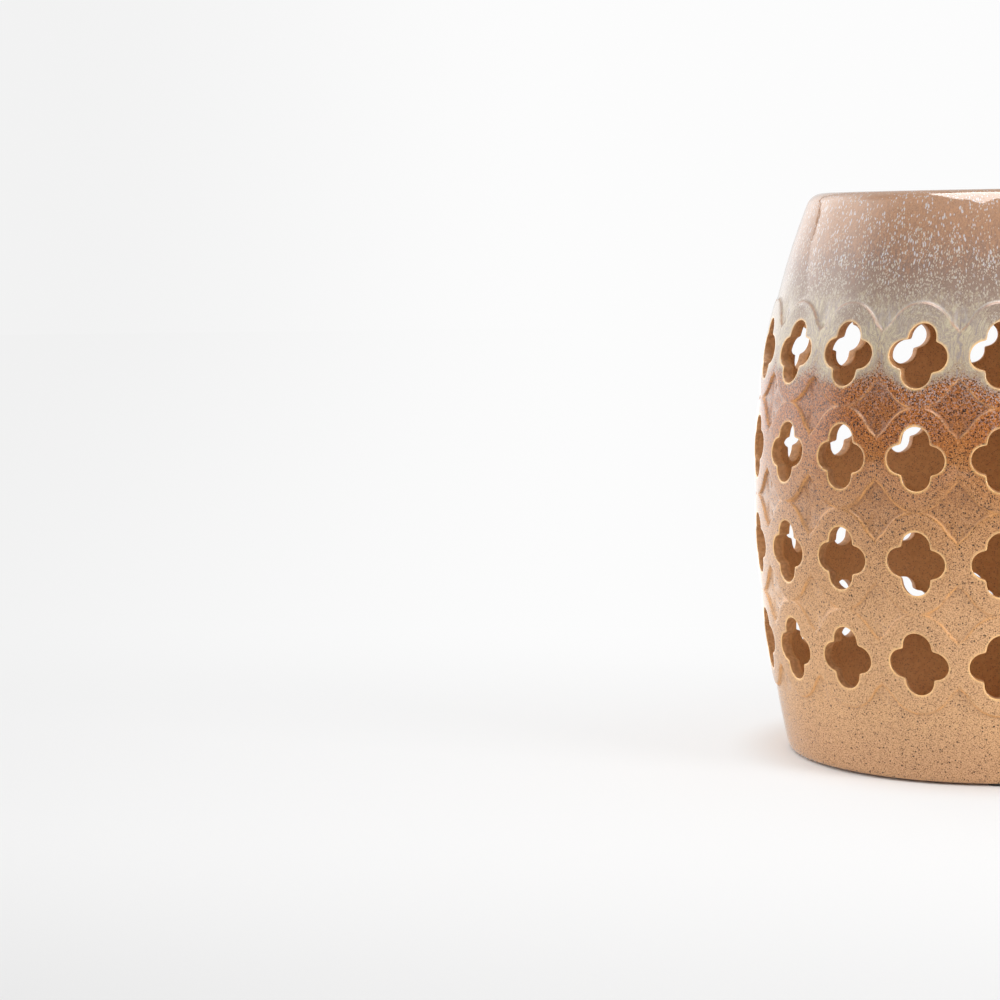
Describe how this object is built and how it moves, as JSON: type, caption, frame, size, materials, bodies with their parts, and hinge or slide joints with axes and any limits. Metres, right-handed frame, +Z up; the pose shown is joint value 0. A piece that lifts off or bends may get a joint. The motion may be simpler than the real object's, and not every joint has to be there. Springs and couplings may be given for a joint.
{
  "type": "garden stool",
  "caption": "Barrel-shaped ceramic garden stool with a flat round seat and a wall pierced by rows of quatrefoil openings, standing on thin floor pads.",
  "frame": {"origin": "centre of the stool's base on the floor, under the pads", "axes": "+Z up along the barrel's axis; one column of the lattice faces -Y"},
  "size_m": [0.3554, 0.3556, 0.432],
  "materials": {
    "barrel_glaze": "glossy speckled tan glaze with a pale run glaze at the top",
    "seat_glaze": "glossy taupe glaze with pale streaks",
    "pad_rubber": "matte dark rubber"
  },
  "bodies": {
    "root": {"barrel_wall": "barrel_glaze", "seat_slab": "seat_glaze", "floor_pad_1": "pad_rubber", "floor_pad_2": "pad_rubber", "floor_pad_3": "pad_rubber", "floor_pad_4": "pad_rubber"}
  },
  "joints": []
}
